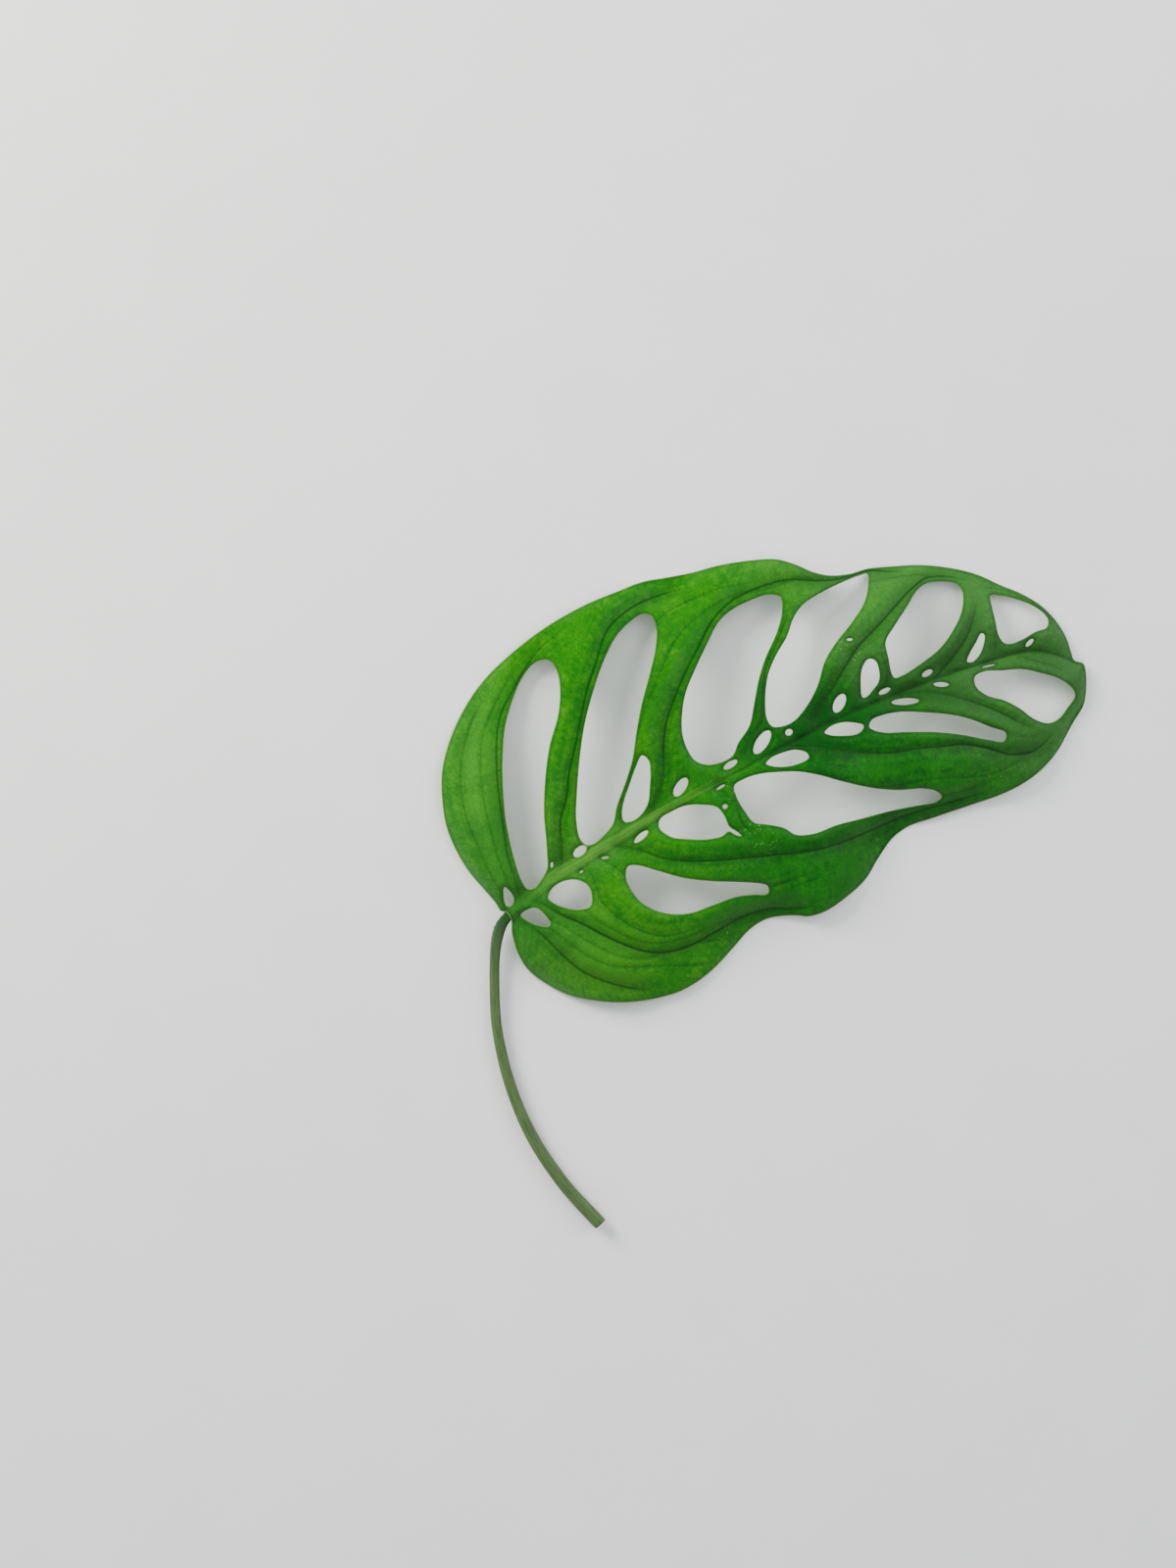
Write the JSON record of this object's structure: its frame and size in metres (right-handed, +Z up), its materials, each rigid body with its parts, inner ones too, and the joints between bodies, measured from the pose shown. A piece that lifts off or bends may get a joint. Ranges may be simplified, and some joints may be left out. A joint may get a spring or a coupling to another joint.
{
  "type": "monstera leaf",
  "caption": "Picked monstera leaf with long windows between its lobes, small holes along its midrib and a curved stalk, lying face up on a flat surface.",
  "frame": {"origin": "on the surface that the leaf lies on, under the middle of its bounding box", "axes": "+X along the blade from the stalk towards the tip, +Y towards the blade's wider half, +Z up, with the leaf face up"},
  "size_m": [0.3236, 0.2648, 0.0217],
  "materials": {
    "leaf_blade": "waxy, softly shining",
    "leaf_stalk": "waxy, softly shining"
  },
  "bodies": {
    "root": {"leaf_blade": "leaf_blade", "leaf_stalk": "leaf_stalk"}
  },
  "joints": []
}
